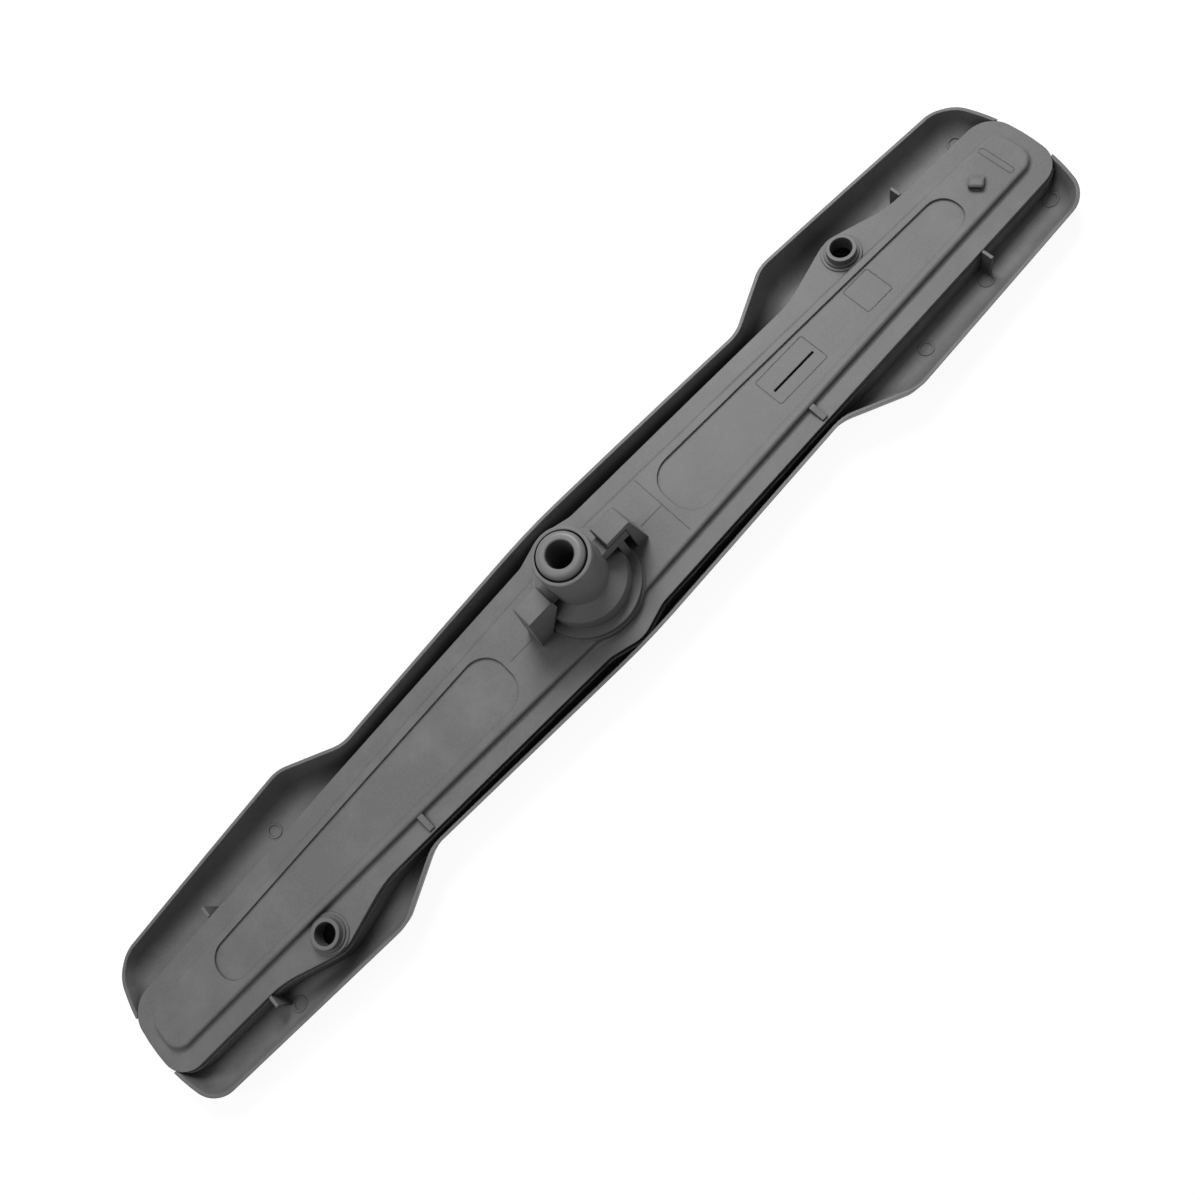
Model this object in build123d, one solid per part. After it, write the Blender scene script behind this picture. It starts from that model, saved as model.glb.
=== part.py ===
from build123d import *
import math
import os

# A dishwasher spray arm, lying on its spray face with the hub up. Millimetres, X along the arm, Z up.
# The origin is on the hub's axis, at the level on which the spray face rests.

# The arm as a whole, seen from above
arm_length = 465.0
tip_bow_radius = 80.0

# Water channel, outline of the cover's flange
flange_centre_half_width = 25.1
flange_tip_half_width = 17.6
flange_corner_radius = 11.0
hub_bulge_reach = 13.5
flange_bulge_rise = 3.4
bulge_ridge_round = 12.0
bulge_foot_round = 10.0

# Spray shell, widths of its rim outside the flange, and where they change
centre_reach = 6.8
waist_reach = 5.2
wing_reach = 18.3
tip_reach = 15.9
waist_from_tip = 127.1
wing_from_tip = 102.0
centre_blend = 300.0
waist_blend = 14.0
wing_blend = 16.0
tip_corner_radius = 13.0

# Spray shell, section
shell_wall = 1.3
ceiling_thickness = 2.0
skirt_draft = 18.0
edge_round = 9.0
end_notch_half_width = 12.6
end_notch_gap = 0.2
rim_drop = 0.9
rim_height_centre = 18.3
rim_height_tip = 11.9
rim_ramp_from_tip = 16.5
rim_ramp_length = 7.0

# Channel cover, heights above the floor and section
cover_wall = 2.0
flange_thickness = 2.6
flange_height_centre = 15.0
flange_height_tip = 11.0
back_height_centre = 17.4
back_height_tip = 13.4
back_centre_half_width = 17.8
back_end_half_width = 9.4
back_end_from_tip = 6.3
back_corner_radius = 7.0
back_bulge_rise = 3.3
back_draft = 14.0
back_edge_round = 1.2
back_foot_round = 1.2

# Weld walls under the flange
weld_wall = 1.8
weld_ledge = 0.7

# Gusset ribs beside the cover, near the tips
rib_from_tip = 46.3
rib_thickness = 1.2
rib_reach = 4.6
rib_gap = 0.3

# Ribs on the cover's shoulder, at the waist
waist_rib_from_tip = 130.5
waist_rib_thickness = 2.4
waist_rib_drop = 0.8
waist_rib_edge = 1.0

# Recessed panels in the cover's back
panel_start = 42.5
panel_end_from_tip = 37.9
panel_margin_start = 3.7
panel_margin_end = 2.9
panel_depth = 0.9
panel_start_radius = 10.0
panel_end_radius = 7.3

# Slit jet in the right panel
slit_from_tip = 124.5
slit_length = 20.4
slit_width = 0.9

# Hooded drive jet near the right tip
drive_jet_from_tip = 27.5
drive_jet_length = 6.4
drive_jet_width = 5.6
drive_jet_height = 2.8
drive_jet_turn = 215.0
drive_jet_wall = 1.0
drive_jet_slot_height = 1.1
drive_jet_toe = 0.5
drive_jet_corner_round = 1.2
drive_jet_crown_bevel = 0.6

# Ring nozzles on the cover's lobes
nozzle_from_tip = 77.8
nozzle_inset = 0.4
nozzle_bore_radius = 4.2
nozzle_throat_radius = 4.0
nozzle_ring_radius = 5.6
nozzle_height = 4.2
nozzle_step_radius = 6.5
nozzle_step_height = 1.4
nozzle_foot_radius = 7.6
nozzle_foot_height = 0.6
lobe_rise = 8.1
lobe_reach_in = 27.0
lobe_reach_out = 25.0
lobe_ridge_round = 15.0
lobe_foot_round = 40.0

# Hub: heights above the cover's back at the hub
pad_radius = 21.3
pad_height = 0.5
collar_height = 36.4
sleeve_waist_height = 13.4
sleeve_drum_height = 10.0

# Hub sleeve
collar_radius = 10.75
sleeve_waist_radius = 11.1
sleeve_drum_radius = 17.2
sleeve_drum_top_radius = 16.9
sleeve_flange_radius = 20.6
sleeve_flange_thickness = 2.5
groove_radius = 9.3
groove_depth = 9.0
collar_edge_round = 0.7

# Bearing tube, turning in the sleeve
bearing_bore_radius = 5.0
bearing_wall = 3.7
bearing_clearance = 0.06
tube_stand_out = 2.0
tube_edge_round = 2.0
tube_mouth_bevel = 0.4
tube_collar_radius = 10.6
tube_collar_thickness = 1.7
tube_tail = 0.6
tube_end_play = 0.3

# Thrust washer, between the tube's collar and the sleeve's shoulder
washer_radius = 10.4
washer_thickness = 1.0
washer_clearance = 0.15
chamber_clearance = 0.6

# Seat ring on the cover, under the tube's collar
seat_ring_height = 1.3
inlet_clearance = 0.5

# Ears of the sleeve, turned in under the cover's hooks
ear_reach = 22.1
ear_front = 4.5
ear_thickness = 5.1
ear_post_inner = 16.5
ear_post_outer = 19.3
ear_gap = 0.3

# Hooks of the cover
hook_height = 23.85
hook_knee_height = 17.1
hook_half_width = 4.2
hook_inner = 13.4
hook_outer = 24.8
hook_foot = 27.6
hook_roof = 2.8
hook_wall = 2.0
hook_bevel = 0.5

# Jets in the spray face
jet_count = 6
jet_first = 52.0
jet_last_from_tip = 20.0
jet_offset = 7.0
jet_dish_radius = 7.0
jet_dish_depth = 0.9
jet_hole_radius = 1.4
jet_slot_length = 8.0
jet_slot_width = 1.6
jet_slot_turn = 60.0
jet_lean = 20.0

# How far the shell, the back and the cutters are drawn beyond what they cut or are cut by
cut_margin = 1.0
arc_overhang = 10.0
clear_of_width = 80.0

# Values worked out from the ones above
half_length = arm_length / 2
clear_of_all = arm_length
flange_low_centre = flange_height_centre - flange_thickness
flange_low_tip = flange_height_tip - flange_thickness
rim_low = math.tan(math.radians(skirt_draft))
rim_reference = rim_height_centre + cut_margin
back_slope = math.tan(math.radians(back_draft))
back_reference = back_height_centre + cut_margin


def level(x, centre, tip):
    """Height at x of the long arc that is centre high over the hub and tip high at both tips."""
    drop = centre - tip
    radius = (half_length ** 2 + drop ** 2) / (2 * drop)
    return centre - radius + math.sqrt(radius ** 2 - x ** 2)


def rim_level(x):
    """Height of the shell's rim, which steps down a little near the tips."""
    height = level(x, rim_height_centre, rim_height_tip)
    if abs(x) < half_length - rim_ramp_from_tip:
        return height
    return height - rim_drop


def flange_half_width(x):
    """Half the flange's width at x, without the hub bulge and the nozzle lobes."""
    share = abs(x) / half_length
    return flange_centre_half_width + share * (flange_tip_half_width - flange_centre_half_width)


def back_half_width(x):
    """Half the width of the raised back's top at x, without the hub bulge."""
    share = abs(x) / (half_length - back_end_from_tip)
    return back_centre_half_width + share * (back_end_half_width - back_centre_half_width)


def back_floor_half_width(x):
    """The same where the back's leaning walls, drawn on, would meet the floor."""
    share = abs(x) / (half_length - back_end_from_tip)
    height = back_height_centre - share * (back_height_centre - back_height_tip)
    return back_half_width(x) + back_slope * height


def under(centre, tip):
    """Everything under the long arc that is centre high over the hub and tip high at the tips."""
    reach = half_length + arc_overhang
    low = -arc_overhang
    end = level(reach, centre, tip)
    top = ThreePointArc((-reach, 0, end), (0, 0, centre), (reach, 0, end))
    sides = Polyline((reach, 0, end), (reach, 0, low), (-reach, 0, low), (-reach, 0, end))
    return extrude(make_face([top, sides]), clear_of_width, dir=(0, 1, 0), both=True)


def under_rim():
    """Everything under the rim's profile, with the ramps near both tips."""
    reach = half_length + arc_overhang
    low = -arc_overhang
    ramp_top = half_length - rim_ramp_from_tip
    ramp_foot = ramp_top + rim_ramp_length
    top_z = level(ramp_top, rim_height_centre, rim_height_tip)
    foot_z = rim_level(ramp_foot)
    tip_z = rim_level(half_length)
    end_z = rim_level(reach)
    edges = [ThreePointArc((-ramp_top, 0, top_z), (0, 0, rim_height_centre), (ramp_top, 0, top_z))]
    for side in (1, -1):
        edges.append(Line((side * ramp_top, 0, top_z), (side * ramp_foot, 0, foot_z)))
        edges.append(ThreePointArc((side * ramp_foot, 0, foot_z), (side * half_length, 0, tip_z),
                                   (side * reach, 0, end_z)))
        edges.append(Line((side * reach, 0, end_z), (side * reach, 0, low)))
    edges.append(Line((-reach, 0, low), (reach, 0, low)))
    return extrude(make_face(edges), clear_of_width, dir=(0, 1, 0), both=True)


def four_way_outline(side, end_x, bow_radius, end_y, lobe=()):
    """Face with the side's corners in all four quarters and a bowed end at end_x on either side.

    The lobe's corners come in two quarters only, opposite each other.
    """
    corner = (end_x - bow_radius + math.sqrt(bow_radius ** 2 - end_y ** 2), end_y)
    plain = [(-x, y) for x, y in reversed([*side, corner]) if x > 0]
    upper = [*plain, *side, *lobe, corner]
    lower = [(-x, -y) for x, y in upper]
    edges = [Polyline(*upper), ThreePointArc(upper[-1], (end_x, 0), lower[0]),
             Polyline(*lower), ThreePointArc(lower[-1], (-end_x, 0), upper[0])]
    return make_face(edges)


def rounded(face, x, radius):
    """The face with its corners at x on either side rounded."""
    return fillet([v for v in face.vertices() if abs(abs(v.X) - x) < 0.01], radius)


def draft_out(x):
    """How much wider the shell is at the reference height than at its rim."""
    return rim_low * (rim_reference - rim_level(x))


def turned(*points):
    """Solid of revolution about Z from points given as radius and height."""
    outline = Polyline(*[(r, 0, z) for r, z in points], close=True)
    return revolve(make_face(outline), Axis.Z, 360)


# The nozzles' axes, one on each side of the arm
nozzle_x = half_length - nozzle_from_tip
nozzle_y = flange_half_width(nozzle_x) - nozzle_inset
nozzles = [(nozzle_x, nozzle_y), (-nozzle_x, -nozzle_y)]

# Heights at the hub
back_z = back_height_centre
pad_z = back_z + pad_height
seat_ring_z = pad_z + seat_ring_height
tube_collar_z = seat_ring_z + tube_end_play
washer_z = tube_collar_z + tube_collar_thickness
shoulder_z = washer_z + washer_thickness + tube_end_play
collar_z = back_z + collar_height
tube_radius = bearing_bore_radius + bearing_wall
inlet_radius = tube_radius + inlet_clearance


def cover_outline():
    """Outline of the cover's flange, with the bulge round the hub and a lobe for each nozzle."""
    bulge = [(0, flange_centre_half_width + flange_bulge_rise),
             (hub_bulge_reach, flange_half_width(hub_bulge_reach))]
    lobe_in = nozzle_x - lobe_reach_in
    lobe_out = nozzle_x + lobe_reach_out
    lobe = [(lobe_in, flange_half_width(lobe_in)), (nozzle_x, flange_half_width(nozzle_x) + lobe_rise),
            (lobe_out, flange_half_width(lobe_out))]
    end_y = flange_half_width(half_length)
    plate = four_way_outline(bulge, half_length, tip_bow_radius, end_y, lobe)
    corner = max(v.X for v in plate.vertices())
    plate = rounded(plate, corner, flange_corner_radius)
    plate = rounded(plate, 0, bulge_ridge_round)
    plate = rounded(plate, hub_bulge_reach, bulge_foot_round)
    plate = rounded(plate, lobe_in, lobe_foot_round)
    plate = rounded(plate, nozzle_x, lobe_ridge_round)
    return rounded(plate, lobe_out, lobe_foot_round)


def shell_outline():
    """Outline of the spray shell at the reference height, from which its sides lean inwards."""
    waist_x = half_length - waist_from_tip
    wing_x = half_length - wing_from_tip
    centre_y = flange_centre_half_width + centre_reach + draft_out(0)
    waist_y = flange_half_width(waist_x) + waist_reach + draft_out(waist_x)
    wing_y = flange_half_width(wing_x) + wing_reach + draft_out(wing_x)
    tip_x = half_length - rim_ramp_from_tip - 1
    tip_y = flange_half_width(half_length) + tip_reach + draft_out(tip_x)
    end_x = half_length + draft_out(half_length)
    side = [(0, centre_y), (waist_x, waist_y), (wing_x, wing_y)]
    face = four_way_outline(side, end_x, tip_bow_radius, tip_y)
    corner = max(v.X for v in face.vertices())
    face = rounded(face, corner, tip_corner_radius + draft_out(half_length))
    face = rounded(face, wing_x, wing_blend)
    face = rounded(face, waist_x, waist_blend)
    return rounded(face, 0, centre_blend)


def make_upper_spray_shell():
    """Wide shell with its leaning, rounded skirt, the channel's weld walls, gussets and jets."""
    top = Plane.XY.offset(rim_reference)
    outline = shell_outline()
    outer = extrude(top * outline, -rim_reference, taper=skirt_draft)
    outer = fillet(outer.edges().group_by(Axis.Z)[0], edge_round)
    inner_outline = offset(outline, -shell_wall, kind=Kind.INTERSECTION)
    inner = extrude(top * inner_outline, ceiling_thickness - rim_reference, taper=skirt_draft)
    inner = fillet(inner.edges().group_by(Axis.Z)[0], edge_round - shell_wall)
    shell = (outer - inner) & under_rim()

    cover = cover_outline()
    end_cut = Rectangle(2 * clear_of_all, 2 * end_notch_half_width)
    end_cut = end_cut - Rectangle(2 * (half_length - rim_ramp_from_tip), clear_of_all)
    notch = extrude(offset(cover, end_notch_gap) + end_cut, clear_of_all)
    shell = shell - (notch - under(flange_low_centre, flange_low_tip))
    ring = offset(cover, weld_ledge) - offset(cover, weld_ledge - weld_wall)
    walls = Pos(0, 0, ceiling_thickness / 2) * extrude(ring, rim_height_centre)
    walls = walls & under(flange_low_centre, flange_low_tip) & outer
    shell = shell + walls

    rib_x = half_length - rib_from_tip
    rib_y = flange_half_width(rib_x) + rib_gap
    rib_top = level(rib_x, flange_height_centre, flange_height_tip)
    rib_low = ceiling_thickness / 2
    rib = Box(rib_thickness, rib_reach, rib_top - rib_low, align=(Align.CENTER, Align.MIN, Align.MIN))
    for side_x in (1, -1):
        for y in (rib_y, -rib_y - rib_reach):
            shell = shell + Pos(side_x * rib_x, y, rib_low) * rib

    for x, y, number in jet_places():
        shell = shell - jet_cutter(x, y, number)
    return shell


def jet_places():
    """Places of the jets, spread evenly along both halves and from side to side."""
    last = half_length - jet_last_from_tip
    pitch = (last - jet_first) / (jet_count - 1)
    places = []
    for half in (1, -1):
        for number in range(jet_count):
            x = jet_first + number * pitch - (half < 0) * pitch / 3
            y = jet_offset * (1 if number % 2 else -1)
            places.append((half * x, half * y, number))
    return places


def jet_cutter(x, y, number):
    """Shallow dish in the spray face with a leaning round hole, or a slot in every third one."""
    dish = Cone(2 * jet_dish_radius - jet_hole_radius, jet_hole_radius, 2 * jet_dish_depth)
    lean = jet_lean if x > 0 else -jet_lean
    if number % 3 == 2:
        slot = extrude(SlotOverall(jet_slot_length, jet_slot_width), clear_of_width, both=True)
        hole = Rot(0, 0, jet_slot_turn) * slot
    else:
        hole = Rot(lean, 0, 0) * Cylinder(jet_hole_radius, 4 * ceiling_thickness)
    limit = Box(clear_of_width, clear_of_width, 4 * ceiling_thickness)
    return Pos(x, y, 0) * ((dish + hole) & limit)


def make_raised_back():
    """Solid raised back of the cover, its top following the arm's long arc."""
    outline = -back_outline().face()
    body = extrude(outline, back_reference, dir=(0, 0, 1), taper=back_draft)
    body = body & under(back_height_centre, back_height_tip)
    top = body.faces().sort_by(Axis.Z)[-1]
    body = fillet(top.edges(), back_edge_round)
    return body - under(flange_low_centre, flange_low_tip)


def back_outline():
    """Outline of the raised back drawn on to the floor, with the bulge round the hub."""
    top_end = half_length - back_end_from_tip
    tip_lean = back_slope * back_height_tip
    hub_lean = back_slope * back_height_centre
    bulge = [(0, back_floor_half_width(0) + back_bulge_rise),
             (hub_bulge_reach, back_floor_half_width(hub_bulge_reach))]
    face = four_way_outline(bulge, top_end + tip_lean, tip_bow_radius, back_floor_half_width(top_end))
    corner = max(v.X for v in face.vertices())
    face = rounded(face, corner, back_corner_radius + tip_lean)
    face = rounded(face, 0, bulge_ridge_round + hub_lean)
    return rounded(face, hub_bulge_reach, bulge_foot_round)


def make_panel(side):
    """Cutter for one recessed panel, following the arc of the back."""
    start = panel_start
    end = half_length - panel_end_from_tip
    start_y = back_half_width(start) - panel_margin_start
    end_y = back_half_width(end) - panel_margin_end
    corners = [(start, start_y), (end, end_y), (end, -end_y), (start, -start_y)]
    face = make_face(Polyline(*[(side * x, y) for x, y in corners], close=True))
    face = rounded(face, end, min(panel_end_radius, end_y - 0.05))
    face = rounded(face, start, min(panel_start_radius, start_y - 0.05))
    cutter = extrude(face, clear_of_all)
    return cutter - under(back_height_centre - panel_depth, back_height_tip - panel_depth)


def make_hook():
    """Hook on the +X side: outer wall, roof and stop wall, open towards -Y and the hub."""
    foot_x = sleeve_flange_radius + ear_gap
    roof_z = back_z + hook_height - hook_roof
    top_z = back_z + hook_height
    knee_z = back_z + hook_knee_height
    clear_z = pad_z + sleeve_flange_thickness + ear_gap
    side = Polyline((foot_x, 0, back_z - cover_wall / 2), (hook_foot, 0, back_z - cover_wall / 2),
                    (hook_outer, 0, top_z - hook_bevel), (hook_outer - hook_bevel, 0, top_z),
                    (hook_inner + hook_bevel, 0, top_z), (hook_inner, 0, top_z - hook_bevel),
                    (hook_inner, 0, knee_z), (foot_x, 0, clear_z), close=True)
    body = extrude(make_face(side), hook_half_width, dir=(0, 1, 0), both=True)
    inside = ear_reach + ear_gap
    pocket_width = 2 * hook_half_width - hook_wall
    pocket = Box(inside, pocket_width, roof_z - pad_z, align=(Align.MIN, Align.MIN, Align.MIN))
    return body - Pos(0, -hook_half_width, pad_z) * pocket


def make_drive_jet():
    """Hood of the drive jet and the passage that feeds it, as a solid and a cutter."""
    x = half_length - drive_jet_from_tip
    z = level(x, back_height_centre, back_height_tip)
    place = Pos(x, 0, z) * Rot(0, 0, drive_jet_turn)
    half = drive_jet_length / 2
    low = -cover_wall / 2
    side = Polyline((half, 0, low), (half, 0, drive_jet_height), (0, 0, drive_jet_height),
                    (-half, 0, drive_jet_toe), (-half, 0, low), close=True)
    hood = extrude(make_face(side), drive_jet_width / 2, dir=(0, 1, 0), both=True)
    hood = fillet(hood.edges().filter_by(Axis.Z), drive_jet_corner_round)
    hood = chamfer(hood.faces().sort_by(Axis.Z)[-1].edges(), drive_jet_crown_bevel)
    inside = drive_jet_width - 2 * drive_jet_wall
    feed_x = half - drive_jet_wall - inside / 2
    feed = Pos(feed_x, 0, 0) * Box(inside, inside, 2 * drive_jet_height)
    below = Box(clear_of_width, clear_of_width, clear_of_width, align=(Align.CENTER, Align.CENTER, Align.MAX))
    feed = feed & Pos(0, 0, drive_jet_height - drive_jet_wall) * below
    slot_z = drive_jet_height - drive_jet_wall - drive_jet_slot_height / 2
    slot = Pos(half, 0, slot_z) * Box(4 * drive_jet_wall, inside, drive_jet_slot_height)
    return place * hood, place * (feed + slot)


def make_lower_channel_cover():
    """Narrow cover of the water channel, with all that is moulded on it."""
    plate = extrude(cover_outline(), rim_height_centre) & under(flange_height_centre, flange_height_tip)
    plate = plate - under(flange_low_centre, flange_low_tip)
    cover = plate + make_raised_back()
    cover = fillet([edge for edge in cover.edges() if is_back_foot(edge)], back_foot_round)

    hollow_face = offset(back_outline(), -cover_wall, kind=Kind.INTERSECTION)
    hollow = extrude(hollow_face, back_height_centre, taper=back_draft)
    hollow = hollow & under(back_height_centre - cover_wall, back_height_tip - cover_wall)

    rib_x = half_length - waist_rib_from_tip
    rib_in = back_half_width(rib_x) - cover_wall / 2
    rib_out = flange_half_width(rib_x) - waist_rib_edge
    rib_top = level(rib_x, back_height_centre, back_height_tip) - waist_rib_drop
    rib_end = level(rib_x, flange_height_centre, flange_height_tip)
    rib_low = level(rib_x, flange_low_centre, flange_low_tip)
    profile = Polyline((0, -rib_in, rib_low + 1), (0, -rib_in, rib_top), (0, -rib_in - cover_wall, rib_top),
                       (0, -rib_out, rib_end + waist_rib_drop), (0, -rib_out, rib_low + 1), close=True)
    waist_rib = extrude(make_face(profile), waist_rib_thickness / 2, dir=(1, 0, 0), both=True)
    cover = cover + Pos(rib_x, 0, 0) * waist_rib + Pos(-rib_x, 0, 0) * waist_rib

    pad_low = flange_height_centre - flange_thickness / 2
    base = (Align.CENTER, Align.CENTER, Align.MIN)
    cover = cover + Pos(0, 0, pad_low) * Cylinder(pad_radius, pad_z - pad_low, align=base)
    cover = cover - hollow
    hook = make_hook()
    cover = cover + hook + Rot(0, 0, 180) * hook

    for side in (1, -1):
        cover = cover - make_panel(side)

    nozzle_z = level(nozzle_x, flange_height_centre, flange_height_tip)
    foot_z = nozzle_z - flange_thickness / 2
    for x, y in nozzles:
        at = Pos(x, y, foot_z)
        foot = Cylinder(nozzle_foot_radius, nozzle_foot_height + flange_thickness / 2, align=base)
        step = Cylinder(nozzle_step_radius, nozzle_step_height + flange_thickness / 2, align=base)
        ring = Cylinder(nozzle_ring_radius, nozzle_height + flange_thickness / 2, align=base)
        cover = cover + at * foot + at * step + at * ring
        bore_depth = nozzle_height + 2 * flange_thickness
        bore = Cone(nozzle_throat_radius, nozzle_bore_radius, bore_depth, align=base)
        cover = cover - Pos(x, y, nozzle_z - 2 * flange_thickness) * bore

    ring = turned((inlet_radius, pad_z - 1), (tube_collar_radius, pad_z - 1),
                  (tube_collar_radius, seat_ring_z), (inlet_radius, seat_ring_z))
    cover = cover + ring
    cover = cover - Pos(0, 0, back_z) * Cylinder(inlet_radius, 4 * cover_wall)

    slit_x = half_length - slit_from_tip
    slit_z = level(slit_x, back_height_centre, back_height_tip)
    cover = cover - Pos(slit_x, 0, slit_z) * Box(slit_length, slit_width, 4 * cover_wall)
    hood, passage = make_drive_jet()
    return cover + hood - passage


def is_back_foot(edge):
    """True for an edge where the raised back's wall meets the flange."""
    middle = edge @ 0.5
    on_flange = abs(middle.Z - level(middle.X, flange_height_centre, flange_height_tip)) < 0.02
    inside = abs(middle.Y) < flange_half_width(middle.X) - 1
    return on_flange and inside and abs(middle.X) < half_length - 0.75 * back_end_from_tip


def make_hub_sleeve():
    """Sleeve with its collar, foot and two ears, and the land in which the tube turns."""
    land = tube_radius + bearing_clearance
    chamber = tube_collar_radius + chamber_clearance
    flange_z = pad_z + sleeve_flange_thickness
    sleeve = turned((chamber, pad_z), (sleeve_flange_radius, pad_z), (sleeve_flange_radius, flange_z),
                    (sleeve_drum_radius, flange_z), (sleeve_drum_top_radius, back_z + sleeve_drum_height),
                    (sleeve_waist_radius, back_z + sleeve_waist_height), (collar_radius, collar_z),
                    (groove_radius, collar_z), (groove_radius, collar_z - groove_depth),
                    (land, collar_z - groove_depth), (land, shoulder_z), (chamber, shoulder_z))
    rim = [e for e in sleeve.edges().filter_by(GeomType.CIRCLE)
           if abs(e.center().Z - collar_z) < 0.01 and e.radius > groove_radius + 0.01]
    sleeve = fillet(rim, collar_edge_round)

    roof_z = back_z + hook_height - hook_roof
    ear_top = roof_z - ear_gap / 2
    ear_in = (land + sleeve_waist_radius) / 2
    stop = hook_half_width - hook_wall - ear_gap
    width = ear_front + stop
    corner = (Align.MIN, Align.MIN, Align.MAX)
    arm = Pos(ear_in, -ear_front, ear_top) * Box(ear_reach - ear_in, width, ear_thickness, align=corner)
    post_height = ear_top - ear_thickness / 2 - (pad_z + sleeve_flange_thickness / 2)
    post = Box(ear_post_outer - ear_post_inner, width, post_height, align=corner)
    ear = arm + Pos(ear_post_inner, -ear_front, ear_top - ear_thickness / 2) * post
    return sleeve + ear + Rot(0, 0, 180) * ear


def make_bearing_tube():
    """Tube on which the arm turns, with the collar that keeps it in the sleeve."""
    low = tube_collar_z - tube_tail
    top = collar_z + tube_stand_out
    tube = turned((bearing_bore_radius, low), (tube_radius, low), (tube_radius, tube_collar_z),
                  (tube_collar_radius, tube_collar_z), (tube_collar_radius, washer_z),
                  (tube_radius, washer_z), (tube_radius, top), (bearing_bore_radius, top))
    ends = [e for e in tube.edges().filter_by(GeomType.CIRCLE) if abs(e.center().Z - top) < 0.01]
    ends = sorted(ends, key=lambda e: e.radius)
    tube = fillet(ends[-1], tube_edge_round)
    mouth = [e for e in tube.edges().filter_by(GeomType.CIRCLE)
             if abs(e.center().Z - top) < 0.01 and abs(e.radius - bearing_bore_radius) < 0.01]
    return chamfer(mouth, tube_mouth_bevel)


def make_thrust_washer():
    """Slip ring that carries the lift of the arm against the tube's collar."""
    inner = tube_radius + washer_clearance
    return turned((inner, washer_z), (washer_radius, washer_z),
                  (washer_radius, washer_z + washer_thickness), (inner, washer_z + washer_thickness))


os.makedirs("parts", exist_ok=True)
pieces = {
    "upper_spray_shell": make_upper_spray_shell(),
    "lower_channel_cover": make_lower_channel_cover(),
    "hub_sleeve": make_hub_sleeve(),
    "bearing_tube": make_bearing_tube(),
    "thrust_washer": make_thrust_washer(),
}
for name, piece in pieces.items():
    export_step(piece, f"parts/{name}.step")
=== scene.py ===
"""Looks of a dishwasher spray arm that lies on its spray face, hub up."""
import math

import bpy
from bpy.props import FloatProperty, StringProperty
from mathutils import Matrix, Vector, noise


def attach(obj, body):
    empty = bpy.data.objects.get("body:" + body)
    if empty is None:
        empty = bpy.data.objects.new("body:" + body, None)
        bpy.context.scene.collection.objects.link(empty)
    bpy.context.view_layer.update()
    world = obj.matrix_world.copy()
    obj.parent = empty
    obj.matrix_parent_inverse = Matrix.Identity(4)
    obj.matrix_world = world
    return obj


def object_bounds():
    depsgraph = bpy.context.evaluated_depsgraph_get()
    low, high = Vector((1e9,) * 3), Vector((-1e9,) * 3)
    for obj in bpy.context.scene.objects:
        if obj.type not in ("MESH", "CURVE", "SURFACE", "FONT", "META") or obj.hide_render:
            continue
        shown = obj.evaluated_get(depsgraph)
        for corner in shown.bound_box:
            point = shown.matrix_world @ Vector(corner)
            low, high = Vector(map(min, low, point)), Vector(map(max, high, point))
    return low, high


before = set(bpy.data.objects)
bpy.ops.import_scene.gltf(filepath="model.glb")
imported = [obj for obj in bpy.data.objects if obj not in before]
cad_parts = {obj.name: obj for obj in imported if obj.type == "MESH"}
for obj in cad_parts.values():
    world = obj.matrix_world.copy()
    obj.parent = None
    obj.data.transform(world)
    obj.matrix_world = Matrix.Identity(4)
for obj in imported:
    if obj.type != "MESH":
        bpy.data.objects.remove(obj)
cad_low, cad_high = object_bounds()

bl_info = {
    "name": "Dishwasher spray arm",
    "version": (1, 0, 0),
    "blender": (4, 5, 0),
    "location": "3D View > Sidebar > Spray arm",
    "description": "Finishes, moulding marks, light and camera for the spray arm",
    "category": "Object",
}

MM = 0.001
ARM_BODY = "arm"
ARM_NODES = ("upper_spray_shell", "lower_channel_cover", "hub_sleeve")
BEARING_NODES = ("bearing_tube", "thrust_washer")

# Camera, and where the hub is from the middle of the picture, along the arm and across it
SENSOR_WIDTH = 36.0
CLIP_START = 10 * MM
AIM_ALONG = 1.2 * MM
AIM_ACROSS = -6.3 * MM

# Backdrop, floor, and the lamps' directions from the hub
BACKDROP = "#F8F8F8"
FLOOR_BOUNCE = "#D4D4D4"
FLOOR_MATTE = "#6E6E6E"
FLOOR_SIZE = 12.0
FLOOR_SINK = 0.05 * MM
KEY_DIRECTION = (0.38, 0.45, 0.81)
FILL_DIRECTION = (-0.50, 0.10, 0.86)

# Heights and widths of the arm, as its solids have them
BACK_CENTRE = 17.4 * MM
BACK_TIP = 13.4 * MM
PANEL_DEPTH = 0.9 * MM
FLANGE_CENTRE = 15.0 * MM
FLANGE_TIP = 11.0 * MM
FLANGE_THICKNESS = 2.6 * MM
FLANGE_HALF_CENTRE = 25.1 * MM
FLANGE_HALF_TIP = 17.6 * MM
FLANGE_BULGE = 3.4 * MM
FLANGE_BULGE_REACH = 13.5 * MM

# Where the ejector pins pressed on the shell's floor
PIN_PLACES = ((0.149, -0.0265), (0.183, -0.0250), (0.2195, 0.0220), (0.2215, -0.0215),
              (-0.1835, -0.0265), (-0.1505, 0.0285))
PIN_SIDES = 64
ABOVE_SHELL = 30 * MM
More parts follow.
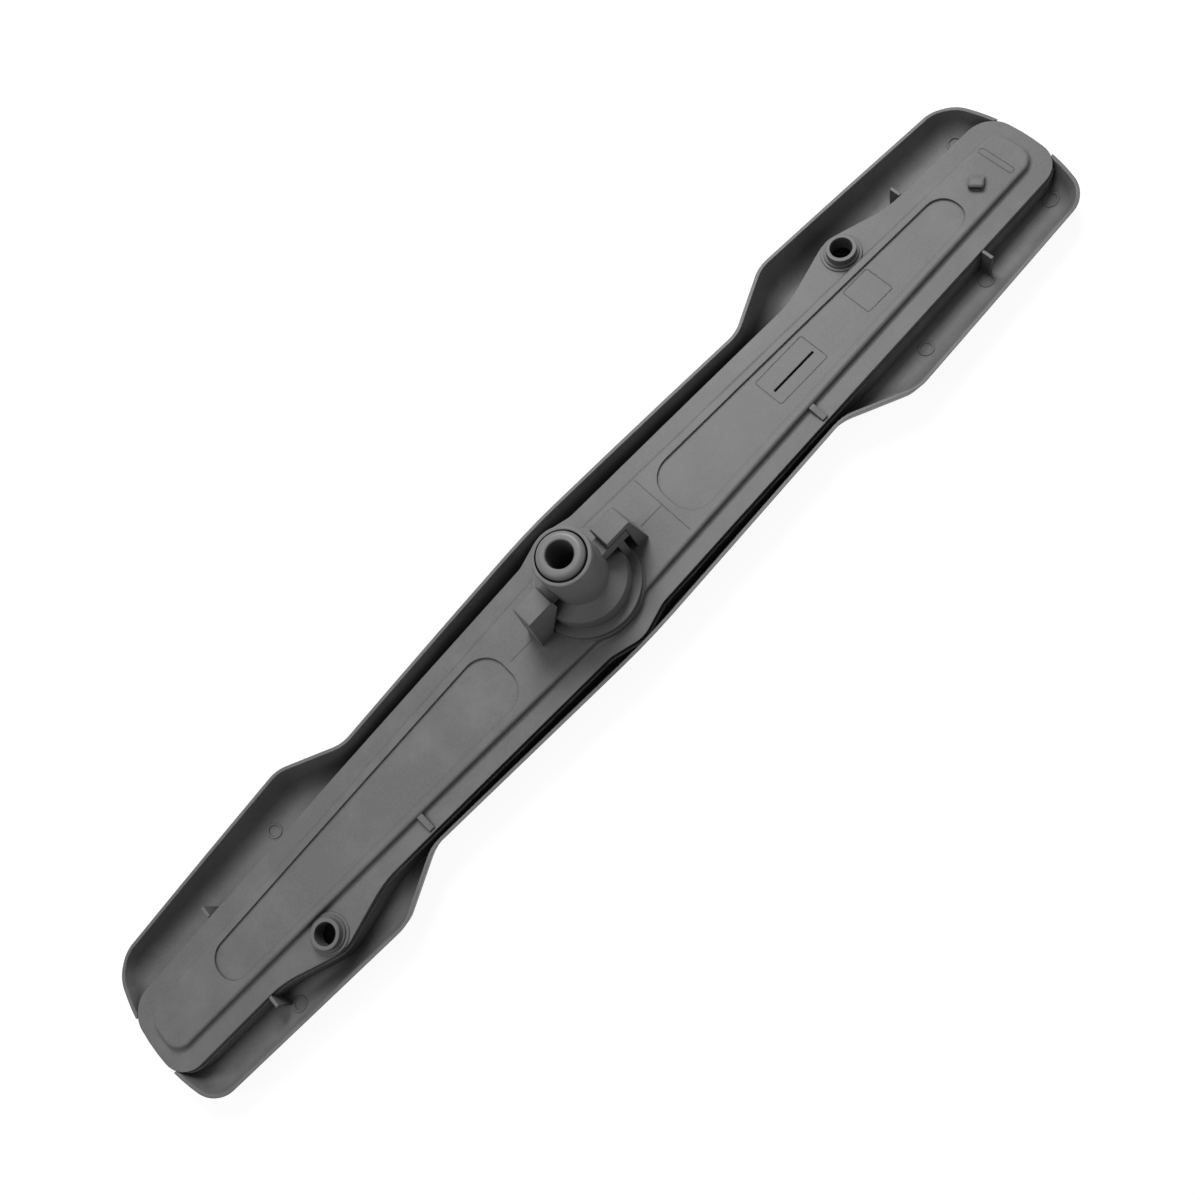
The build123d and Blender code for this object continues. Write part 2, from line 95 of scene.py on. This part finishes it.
# Inserts of the slit, beyond the slit and near the tip: name, corners, and depth below the back
FRAMES = (("slit_insert_outline", (0.0955, -0.0055), (0.1203, 0.0080), PANEL_DEPTH),
          ("plain_insert_outline", (0.1422, -0.0050), (0.1552, 0.0080), PANEL_DEPTH),
          ("tip_insert_outline", (0.2150, -0.0072), (0.2178, 0.0084), 0.0))
CORNER_ROUND = 1.0 * MM
CORNER_SEGMENTS = 5
LINE_CUTS = 3
# Lines where the mould's parts met beside the hub: name, from and to
LINES = (("split_line_right", (0.0395, -0.0136), (0.0395, 0.0150)),
         ("split_line_right_middle", (0.0285, 0.0007), (0.0393, 0.0007)),
         ("split_line_left_middle", (-0.0394, 0.0010), (-0.0285, 0.0010)))
# Runs of weld flash: from x, to x, and the side of the arm
BEADS = ((-0.085, -0.036, -1), (-0.030, -0.016, -1), (0.012, 0.052, -1), (0.060, 0.092, -1),
         (-0.060, -0.020, 1), (0.018, 0.070, 1))
BEAD_SIDES = 8
BEAD_STEP = 0.6 * MM
BEAD_FADE = 3.0 * MM
BEAD_OUT = 0.45 * MM
BEAD_WANDER = 0.35 * MM
# As parts of the bead's radius: its ends, its height over the ledge, its mean and its swelling
BEAD_TIP = 0.15
BEAD_RISE = 0.4
BEAD_MEAN = 0.75
BEAD_SWELL = 0.35
# Noise waves per metre, and where in the noise each side's swelling and wandering are taken
SWELL_PITCH = 420
SWELL_PLACE = (7.0, 0.5)
WANDER_PITCH = 160
WANDER_PLACE = (3.0, 4.2)


def linear(code):
    """A colour given as sRGB hex, as linear red, green, blue and alpha."""
    channels = [int(code[i:i + 2], 16) / 255 for i in (1, 3, 5)]
    return [c / 12.92 if c < 0.04045 else ((c + 0.055) / 1.055) ** 2.4 for c in channels] + [1.0]


def add_node(tree, kind, settings=None, inputs=None, links=None):
    """A node of that kind, with its settings, its unlinked inputs and its links set."""
    node = tree.nodes.new(kind)
    for name, value in (settings or {}).items():
        setattr(node, name, value)
    for name, value in (inputs or {}).items():
        node.inputs[name].default_value = value
    for name, socket in (links or {}).items():
        tree.links.new(socket, node.inputs[name])
    return node


def new_material(name):
    """A material with an empty node tree, and its tree."""
    material = bpy.data.materials.new(name)
    material.use_nodes = True
    material.node_tree.nodes.clear()
    return material, material.node_tree


def assign(node_names, material):
    """Gives every CAD node of that list the material, and no other."""
    for name in node_names:
        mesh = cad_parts[name].data
        mesh.materials.clear()
        mesh.materials.append(material)


class SprayArmFinish(bpy.types.PropertyGroup):
    """Colours and surface of the plastics."""

    arm_colour: StringProperty(
        name="Arm colour", description="Grey of the moulded arm, as sRGB hex", default="#6E6E6F")
    arm_deep_colour: StringProperty(
        name="Deep grey", description="Grey in the pits of the grain, as sRGB hex", default="#5F5F61")
    arm_pale_colour: StringProperty(
        name="Pale grey", description="Grey where the moulding has dried lime or light scuffs",
        default="#7E7E7F")
    bearing_colour: StringProperty(
        name="Bearing colour", description="Grey of the feed tube, as sRGB hex", default="#747475")
    grain_size: FloatProperty(
        name="Grain", description="Distance between the dots of the mould's grain",
        default=0.5 * MM, unit="LENGTH")
    # Painted shade: the dark grey laid into the colour in narrow gaps, bores and inner corners, and the
    # widest gap that it reaches into
    painted_shade_colour: StringProperty(
        name="Painted shade colour", description="Grey of the damp film in gaps and bores, as sRGB hex",
        default="#2C2C2D")
    painted_shade_reach: FloatProperty(
        name="Painted shade reach", description="Widest gap in which the film stays",
        default=9 * MM, unit="LENGTH")
    edge_round: FloatProperty(
        name="Edge round", description="Radius to which the mould's edges are broken",
        default=0.5 * MM, unit="LENGTH")


class SprayArmMarks(bpy.types.PropertyGroup):
    """Marks that the mould's parts have left."""

    pin_radius: FloatProperty(
        name="Pin radius", description="Radius of an ejector pin's mark", default=2.9 * MM, unit="LENGTH")
    pin_height: FloatProperty(
        name="Pin height", description="How far a pin's mark stands out", default=0.3 * MM, unit="LENGTH")
    pin_rim: FloatProperty(
        name="Pin rim", description="Width of the raised rim of a pin's mark",
        default=0.7 * MM, unit="LENGTH")
    line_width: FloatProperty(
        name="Line width", description="Width of a split line", default=0.35 * MM, unit="LENGTH")
    line_height: FloatProperty(
        name="Line height", description="How far a split line stands out", default=0.1 * MM, unit="LENGTH")
    bead_radius: FloatProperty(
        name="Weld bead", description="Radius of the bead squeezed out of the weld",
        default=0.4 * MM, unit="LENGTH")


class SprayArmStage(bpy.types.PropertyGroup):
    """Camera, light and floor."""

    tilt: FloatProperty(
        name="Tilt", description="Lean of the camera towards -Y, from straight above",
        default=math.radians(20), subtype="ANGLE")
    yaw: FloatProperty(
        name="Yaw", description="Turn of the camera about the arm's width",
        default=math.radians(0.65), subtype="ANGLE")
    roll: FloatProperty(
        name="Roll", description="Turn of the arm in the picture, from level",
        default=math.radians(46.5), subtype="ANGLE")
    distance: FloatProperty(
        name="Distance",
        description="From the camera to the picture's middle, at the height of the hub's flange",
        default=0.4193, unit="LENGTH")
    focal_length: FloatProperty(
        name="Focal length", description="Focal length of the lens, in millimetres", default=34.5)
    key_power: FloatProperty(
        name="Key light", description="Power of the soft light above and behind the arm", default=4.85)
    key_size: FloatProperty(
        name="Key size", description="Width of the soft light", default=0.4, unit="LENGTH")
    key_distance: FloatProperty(
        name="Key distance", description="From the soft light to the hub", default=0.8, unit="LENGTH")
    fill_power: FloatProperty(
        name="Fill light", description="Power of the weaker light over the -X end", default=0.5)
    fill_size: FloatProperty(
        name="Fill size", description="Width of the weaker light", default=0.25, unit="LENGTH")
    fill_distance: FloatProperty(
        name="Fill distance", description="From the weaker light to the hub", default=0.6, unit="LENGTH")
    world_level: FloatProperty(
        name="World", description="Level of the light from all round", default=0.11)


class SPRAYARM_OT_arm_plastic(bpy.types.Operator):
    """Finish the shell, the channel cover and the hub sleeve in moulded polypropylene."""

    bl_idname = "sprayarm.arm_plastic"
    bl_label = "Arm plastic"

    def execute(self, context):
        finish = context.scene.spray_arm_finish
        assign(ARM_NODES, moulded_polypropylene(finish))
        return {"FINISHED"}


def moulded_polypropylene(finish):
    """Talc-filled polypropylene, injection moulded: satin, with a fine grain and pale, dry scuffs."""
    material, tree = new_material("moulded_polypropylene")
    place = add_node(tree, "ShaderNodeTexCoord").outputs["Object"]
    clouds = add_node(tree, "ShaderNodeTexNoise", inputs={"Scale": 45.0, "Detail": 5.0, "Roughness": 0.65},
                      links={"Vector": place})
    haze = add_node(tree, "ShaderNodeMapRange", inputs={"From Min": 0.45, "From Max": 0.75},
                    links={"Value": clouds.outputs["Fac"]})
    grain = add_node(tree, "ShaderNodeTexNoise",
                     inputs={"Scale": 1 / finish.grain_size, "Detail": 2.0, "Roughness": 0.6},
                     links={"Vector": place})
    pits = add_node(tree, "ShaderNodeMapRange", inputs={"From Min": 0.45, "From Max": 0.75},
                    links={"Value": grain.outputs["Fac"]})
    clean = add_node(tree, "ShaderNodeMix", {"data_type": "RGBA"}, links={"Factor": pits.outputs["Result"]})
    clean.inputs["A"].default_value = linear(finish.arm_colour)
    clean.inputs["B"].default_value = linear(finish.arm_deep_colour)
    colour = add_node(tree, "ShaderNodeMix", {"data_type": "RGBA"},
                      links={"Factor": haze.outputs["Result"], "A": clean.outputs["Result"]})
    colour.inputs["B"].default_value = linear(finish.arm_pale_colour)
    # Painted shade in gaps, bores and inner corners, mixed into the arm's colour
    used = add_painted_shade(tree, finish)
    tree.links.new(colour.outputs["Result"], used.inputs["A"])
    edges = add_node(tree, "ShaderNodeBevel", {"samples": 6}, {"Radius": finish.edge_round})
    bump = add_node(tree, "ShaderNodeBump", inputs={"Strength": 0.4, "Distance": 0.06 * MM},
                    links={"Height": grain.outputs["Fac"], "Normal": edges.outputs["Normal"]})
    rough = add_node(tree, "ShaderNodeMapRange",
                     inputs={"From Min": 0.3, "From Max": 0.8, "To Min": 0.5, "To Max": 0.64},
                     links={"Value": clouds.outputs["Fac"]})
    shader = add_node(tree, "ShaderNodeBsdfPrincipled", inputs={"IOR": 1.49},
                      links={"Base Color": used.outputs["Result"], "Roughness": rough.outputs["Result"],
                             "Normal": bump.outputs["Normal"]})
    add_node(tree, "ShaderNodeOutputMaterial", links={"Surface": shader.outputs["BSDF"]})
    return material


def add_painted_shade(tree, finish):
    """Mixes painted shade into a colour: darker in narrow gaps, bores and inner corners, where shade falls.
    """
    openness = add_node(tree, "ShaderNodeAmbientOcclusion", {"samples": 8}, {"Distance": finish.painted_shade_reach})
    shade = add_node(tree, "ShaderNodeMapRange",
                    inputs={"From Min": 0.2, "From Max": 0.8, "To Min": 1.0, "To Max": 0.0},
                    links={"Value": openness.outputs["AO"]})
    # Painted shade: the colour goes towards the dark grey where ambient occlusion finds the surface closed
    # in
    used = add_node(tree, "ShaderNodeMix", {"data_type": "RGBA"}, links={"Factor": shade.outputs["Result"]})
    used.inputs["B"].default_value = linear(finish.painted_shade_colour)
    return used


class SPRAYARM_OT_bearing_plastic(bpy.types.Operator):
    """Finish the feed tube and the thrust washer in smooth moulded acetal."""

    bl_idname = "sprayarm.bearing_plastic"
    bl_label = "Bearing plastic"

    def execute(self, context):
        finish = context.scene.spray_arm_finish
        assign(BEARING_NODES, moulded_acetal(finish))
        return {"FINISHED"}


def moulded_acetal(finish):
    """Acetal, moulded in a polished tool: smooth and a little glossier than the arm."""
    material, tree = new_material("moulded_acetal")
    place = add_node(tree, "ShaderNodeTexCoord").outputs["Object"]
    clouds = add_node(tree, "ShaderNodeTexNoise", inputs={"Scale": 300.0, "Detail": 3.0},
                      links={"Vector": place})
    rough = add_node(tree, "ShaderNodeMapRange", inputs={"To Min": 0.34, "To Max": 0.46},
                     links={"Value": clouds.outputs["Fac"]})
    edges = add_node(tree, "ShaderNodeBevel", {"samples": 6}, {"Radius": finish.edge_round})
    # Painted shade in gaps, bores and inner corners, mixed into the tube's colour
    used = add_painted_shade(tree, finish)
    used.inputs["A"].default_value = linear(finish.bearing_colour)
    shader = add_node(tree, "ShaderNodeBsdfPrincipled", inputs={"IOR": 1.48},
                      links={"Base Color": used.outputs["Result"], "Roughness": rough.outputs["Result"],
                             "Normal": edges.outputs["Normal"]})
    add_node(tree, "ShaderNodeOutputMaterial", links={"Surface": shader.outputs["BSDF"]})
    return material


def height_at(x, centre, tip):
    """Height at x, in metres, of the long arc that is centre high at the hub and tip high at both tips."""
    half = cad_high[0]
    drop = centre - tip
    radius = (half ** 2 + drop ** 2) / (2 * drop)
    return centre - radius + math.sqrt(radius ** 2 - x ** 2)


def back_height(x):
    """Height of the cover's raised back at x."""
    return height_at(x, BACK_CENTRE, BACK_TIP)


def select_only(thing):
    """Selects one object and nothing else, and makes it the active one."""
    bpy.ops.object.select_all(action="DESELECT")
    thing.select_set(True)
    bpy.context.view_layer.objects.active = thing


def settle(thing, name):
    """Puts the piece's place into its mesh, names it, rides it on the arm and gives it the arm's plastic."""
    select_only(thing)
    bpy.ops.object.transform_apply(location=True, rotation=True, scale=True)
    thing.name = name
    thing.data.name = name
    thing.data.materials.clear()
    thing.data.materials.append(bpy.data.materials["moulded_polypropylene"])
    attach(thing, ARM_BODY)


class SPRAYARM_OT_pin_marks(bpy.types.Operator):
    """Set the round ejector pin marks on the floor of the wings."""

    bl_idname = "sprayarm.pin_marks"
    bl_label = "Pin marks"

    def execute(self, context):
        marks = context.scene.spray_arm_marks
        for number, (x, y) in enumerate(PIN_PLACES, start=1):
            settle(add_pin_mark(x, y, marks), f"pin_mark_{number}")
        return {"FINISHED"}


def add_pin_mark(x, y, marks):
    """A thin raised ring that follows the shell's floor, as an ejector pin's edge leaves."""
    bpy.ops.object.select_all(action="DESELECT")
    bpy.ops.mesh.primitive_circle_add(vertices=PIN_SIDES, radius=marks.pin_radius, fill_type="NGON",
                                      location=(x, y, ABOVE_SHELL))
    ring = bpy.context.object
    cut_out_middle(ring, marks.pin_rim)
    lie = ring.modifiers.new("lie_on_floor", "SHRINKWRAP")
    lie.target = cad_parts["upper_spray_shell"]
    lie.wrap_method = "PROJECT"
    lie.use_project_z = True
    lie.use_positive_direction = False
    lie.use_negative_direction = True
    bpy.ops.object.modifier_apply(modifier=lie.name)
    return give_height(ring, marks.pin_height)


def cut_out_middle(plate, width):
    """Leaves only a border of that width of a flat plate."""
    select_only(plate)
    bpy.ops.object.mode_set(mode="EDIT")
    bpy.ops.mesh.select_all(action="SELECT")
    bpy.ops.mesh.inset(thickness=width, depth=0)
    bpy.ops.mesh.delete(type="FACE")
    bpy.ops.object.mode_set(mode="OBJECT")


class SPRAYARM_OT_split_lines(bpy.types.Operator):
    """Lay the outlines of the mould's inserts, and the lines where its parts met, on the back."""

    bl_idname = "sprayarm.split_lines"
    bl_label = "Split lines"

    def execute(self, context):
        marks = context.scene.spray_arm_marks
        for name, low, high, sink in FRAMES:
            settle(add_frame(low, high, sink, marks), name)
        for name, low, high in LINES:
            settle(add_line(low, high, marks), name)
        return {"FINISHED"}


def add_plate(low, high, sink):
    """A flat plate from corner to corner, lying on the arm's long arc, sunk below the back by sink."""
    x = (low[0] + high[0]) / 2
    rise = (back_height(high[0]) - back_height(low[0])) / max(high[0] - low[0], MM)
    bpy.ops.object.select_all(action="DESELECT")
    bpy.ops.mesh.primitive_plane_add(size=1.0, location=(x, (low[1] + high[1]) / 2, back_height(x) - sink),
                                     rotation=(0, -math.atan(rise), 0))
    plate = bpy.context.object
    plate.scale = (high[0] - low[0], high[1] - low[1], 1)
    bpy.ops.object.transform_apply(location=False, rotation=False, scale=True)
    return plate


def give_height(thing, height):
    """Makes a flat outline solid, half in the surface and half out of it."""
    select_only(thing)
    solid = thing.modifiers.new("height", "SOLIDIFY")
    solid.thickness = 2 * height
    solid.offset = 0
    bpy.ops.object.modifier_apply(modifier=solid.name)
    return thing


def add_frame(low, high, sink, marks):
    """A raised outline with round corners, as a mould's insert leaves."""
    plate = add_plate(low, high, sink)
    select_only(plate)
    bpy.ops.object.mode_set(mode="EDIT")
    bpy.ops.mesh.select_all(action="SELECT")
    bpy.ops.mesh.bevel(offset=CORNER_ROUND, segments=CORNER_SEGMENTS, affect="VERTICES")
    bpy.ops.object.mode_set(mode="OBJECT")
    cut_out_middle(plate, marks.line_width)
    return give_height(plate, marks.line_height)


def add_line(low, high, marks):
    """One raised line from low to high, along X or along Y."""
    half = marks.line_width / 2
    along_x = high[0] - low[0] > high[1] - low[1]
    out = (0, half) if along_x else (half, 0)
    start = (low[0] - out[0], low[1] - out[1])
    end = (high[0] + out[0], high[1] + out[1])
    plate = add_plate(start, end, 0.0)
    bpy.ops.object.mode_set(mode="EDIT")
    bpy.ops.mesh.select_all(action="SELECT")
    bpy.ops.mesh.subdivide(number_cuts=LINE_CUTS)
    bpy.ops.object.mode_set(mode="OBJECT")
    return give_height(plate, marks.line_height)


class SPRAYARM_OT_weld_beads(bpy.types.Operator):
    """Squeeze the uneven beads out of the weld beside the cover's flange."""

    bl_idname = "sprayarm.weld_beads"
    bl_label = "Weld beads"

    def execute(self, context):
        marks = context.scene.spray_arm_marks
        for number, (start, end, side) in enumerate(BEADS, start=1):
            settle(add_bead(start, end, side, marks), f"weld_bead_{number}")
        return {"FINISHED"}


def add_bead(start, end, side, marks):
    """A thin run of weld flash on the ledge beside the flange, wandering and swelling a little."""
    steps = int((end - start) / BEAD_STEP)
    middle = Vector(((start + end) / 2, 0, 0))
    bpy.ops.object.select_all(action="DESELECT")
    bpy.ops.mesh.primitive_cylinder_add(vertices=BEAD_SIDES, radius=marks.bead_radius, depth=end - start,
                                        location=middle, rotation=(0, math.pi / 2, 0))
    bead = bpy.context.object
    bpy.ops.object.transform_apply(location=True, rotation=True, scale=True)
    divide_along_x(bead, end - start, steps)
    for vertex in bead.data.vertices:
        x = vertex.co.x
        swell = BEAD_MEAN + BEAD_SWELL * side_noise(x, side, SWELL_PITCH, SWELL_PLACE)
        fade = min(1.0, (x - start) / BEAD_FADE + BEAD_TIP, (end - x) / BEAD_FADE + BEAD_TIP)
        wander = BEAD_WANDER * side_noise(x, side, WANDER_PITCH, WANDER_PLACE)
        out = flange_half_width(x) + BEAD_OUT
        low = height_at(x, FLANGE_CENTRE, FLANGE_TIP) - FLANGE_THICKNESS
        vertex.co.y = side * (out + wander) + vertex.co.y * swell * fade
        vertex.co.z = low + marks.bead_radius * BEAD_RISE + vertex.co.z * swell * fade
    select_only(bead)
    bpy.ops.object.shade_smooth()
    return bead


def divide_along_x(bead, length, steps):
    """Cuts a bead's long edges, so that it can bend along X."""
    bpy.ops.object.mode_set(mode="EDIT")
    bpy.ops.mesh.select_mode(type="EDGE")
    bpy.ops.mesh.select_all(action="DESELECT")
    bpy.ops.object.mode_set(mode="OBJECT")
    for edge in bead.data.edges:
        ends = [bead.data.vertices[i].co.x for i in edge.vertices]
        edge.select = abs(ends[0] - ends[1]) > 0.5 * length
    bpy.ops.object.mode_set(mode="EDIT")
    bpy.ops.mesh.subdivide(number_cuts=steps)
    bpy.ops.mesh.select_mode(type="VERT")
    bpy.ops.object.mode_set(mode="OBJECT")
    if len(bead.data.vertices) < BEAD_SIDES * steps:
        raise RuntimeError("a weld bead was not divided along its length")


def side_noise(x, side, pitch, place):
    """Noise from about -1 to 1 along x, different on the arm's two sides."""
    return noise.noise(Vector((x * pitch, side * place[0], place[1])))


def flange_half_width(x):
    """Half the width of the cover's flange at x, with the roof-shaped bulge at the hub."""
    straight = FLANGE_HALF_CENTRE + (FLANGE_HALF_TIP - FLANGE_HALF_CENTRE) * abs(x) / cad_high[0]
    bulge = FLANGE_BULGE * max(0.0, 1 - abs(x) / FLANGE_BULGE_REACH)
    return straight + bulge


class SPRAYARM_OT_stage(bpy.types.Operator):
    """Lay the pale floor and set the light, the world and the camera."""

    bl_idname = "sprayarm.stage"
    bl_label = "Stage"

    def execute(self, context):
        settings = context.scene.spray_arm_stage
        add_floor()
        add_lights(settings)
        add_world(settings)
        add_camera(settings)
        context.scene.view_settings.view_transform = "Standard"
        return {"FINISHED"}


def backdrop_rays(tree):
    """A socket that is 1 for the rays that see the backdrop: camera, glossy and transmission rays."""
    path = add_node(tree, "ShaderNodeLightPath")
    seen = path.outputs["Is Camera Ray"]
    for kind in ("Is Glossy Ray", "Is Transmission Ray"):
        either = add_node(tree, "ShaderNodeMath", {"operation": "MAXIMUM"})
        tree.links.new(seen, either.inputs[0])
        tree.links.new(path.outputs[kind], either.inputs[1])
        seen = either.outputs["Value"]
    return seen


def add_floor():
    """A wide pale floor just under the spray face. Backdrop rays see it white but for the shadow,
    and to all others it is pale grey and throws light back on the arm's sides."""
    bpy.ops.object.select_all(action="DESELECT")
    bpy.ops.mesh.primitive_plane_add(size=FLOOR_SIZE, location=(0, 0, -FLOOR_SINK))
    floor = bpy.context.object
    floor.name = "floor"
    material, tree = new_material("pale_floor")
    bounce = add_node(tree, "ShaderNodeBsdfDiffuse", inputs={"Color": linear(FLOOR_BOUNCE)})
    matte = add_node(tree, "ShaderNodeBsdfDiffuse", inputs={"Color": linear(FLOOR_MATTE)})
    glow = add_node(tree, "ShaderNodeEmission", inputs={"Color": linear(BACKDROP), "Strength": 1.0})
    shown = add_node(tree, "ShaderNodeAddShader")
    tree.links.new(matte.outputs["BSDF"], shown.inputs[0])
    tree.links.new(glow.outputs["Emission"], shown.inputs[1])
    both = add_node(tree, "ShaderNodeMixShader")
    tree.links.new(backdrop_rays(tree), both.inputs[0])
    tree.links.new(bounce.outputs["BSDF"], both.inputs[1])
    tree.links.new(shown.outputs["Shader"], both.inputs[2])
    add_node(tree, "ShaderNodeOutputMaterial", links={"Surface": both.outputs["Shader"]})
    floor.data.materials.append(material)


def add_lights(settings):
    """A soft key light above, behind and towards the +X end, and a weaker one over the -X end."""
    add_lamp("key_light", Vector(KEY_DIRECTION), settings.key_power, settings.key_size,
             settings.key_distance)
    add_lamp("fill_light", Vector(FILL_DIRECTION), settings.fill_power, settings.fill_size,
             settings.fill_distance)


def add_lamp(name, direction, power, size, distance):
    """A round soft light in that direction from the hub, facing it."""
    towards_light = direction.normalized()
    light = bpy.data.lights.new(name, "AREA")
    light.shape = "DISK"
    light.size = size
    light.energy = power
    lamp = bpy.data.objects.new(name, light)
    lamp.location = towards_light * distance
    lamp.rotation_mode = "QUATERNION"
    lamp.rotation_quaternion = towards_light.to_track_quat("Z", "Y")
    bpy.context.scene.collection.objects.link(lamp)


def add_world(settings):
    """Even light from all round, white to the rays that see the backdrop."""
    world = bpy.data.worlds.new("studio")
    world.use_nodes = True
    tree = world.node_tree
    tree.nodes.clear()
    level = add_node(tree, "ShaderNodeMapRange",
                     inputs={"To Min": settings.world_level, "To Max": 1.0},
                     links={"Value": backdrop_rays(tree)})
    light = add_node(tree, "ShaderNodeBackground", inputs={"Color": linear(BACKDROP)},
                     links={"Strength": level.outputs["Result"]})
    add_node(tree, "ShaderNodeOutputWorld", links={"Surface": light.outputs["Background"]})
    bpy.context.scene.world = world


def add_camera(settings):
    """The photograph's camera: above the hub, leaning towards -Y, with the arm across the picture."""
    along = Vector((math.cos(settings.yaw), 0, math.sin(settings.yaw)))
    towards_camera = Vector((0, -math.sin(settings.tilt), math.cos(settings.tilt)))
    towards_camera = (towards_camera - along * towards_camera.dot(along)).normalized()
    down = along.cross(towards_camera)
    hub = Vector((0, 0, FLANGE_CENTRE))
    centre = hub - along * AIM_ALONG - down * AIM_ACROSS
    right = along * math.cos(settings.roll) + down * math.sin(settings.roll)
    up = along * math.sin(settings.roll) - down * math.cos(settings.roll)
    camera = bpy.data.cameras.new("photo_camera")
    camera.sensor_width = SENSOR_WIDTH
    camera.lens = settings.focal_length
    camera.clip_start = CLIP_START
    holder = bpy.data.objects.new("photo_camera", camera)
    axes = Matrix((right, up, towards_camera)).transposed().to_4x4()
    holder.matrix_world = Matrix.Translation(centre + towards_camera * settings.distance) @ axes
    bpy.context.scene.collection.objects.link(holder)
    bpy.context.scene.camera = holder


class SPRAYARM_PT_panel(bpy.types.Panel):
    """The pieces and settings of the spray arm."""

    bl_idname = "SPRAYARM_PT_panel"
    bl_label = "Spray arm"
    bl_space_type = "VIEW_3D"
    bl_region_type = "UI"
    bl_category = "Spray arm"

    def draw(self, context):
        scene = context.scene
        for group in (scene.spray_arm_finish, scene.spray_arm_marks, scene.spray_arm_stage):
            for name in group.__annotations__:
                self.layout.prop(group, name)
        for operator in OPERATORS:
            self.layout.operator(operator.bl_idname)


GROUPS = {"spray_arm_finish": SprayArmFinish, "spray_arm_marks": SprayArmMarks,
          "spray_arm_stage": SprayArmStage}
OPERATORS = (SPRAYARM_OT_arm_plastic, SPRAYARM_OT_bearing_plastic, SPRAYARM_OT_pin_marks,
             SPRAYARM_OT_split_lines, SPRAYARM_OT_weld_beads, SPRAYARM_OT_stage)


def register():
    for name, group in GROUPS.items():
        bpy.utils.register_class(group)
        setattr(bpy.types.Scene, name, bpy.props.PointerProperty(type=group))
    for operator in OPERATORS:
        bpy.utils.register_class(operator)
    bpy.utils.register_class(SPRAYARM_PT_panel)


def unregister():
    bpy.utils.unregister_class(SPRAYARM_PT_panel)
    for operator in reversed(OPERATORS):
        bpy.utils.unregister_class(operator)
    for name, group in GROUPS.items():
        delattr(bpy.types.Scene, name)
        bpy.utils.unregister_class(group)


def main():
    register()
    for operator in OPERATORS:
        category, name = operator.bl_idname.split(".")
        getattr(getattr(bpy.ops, category), name)()


if __name__ == "__main__":
    main()
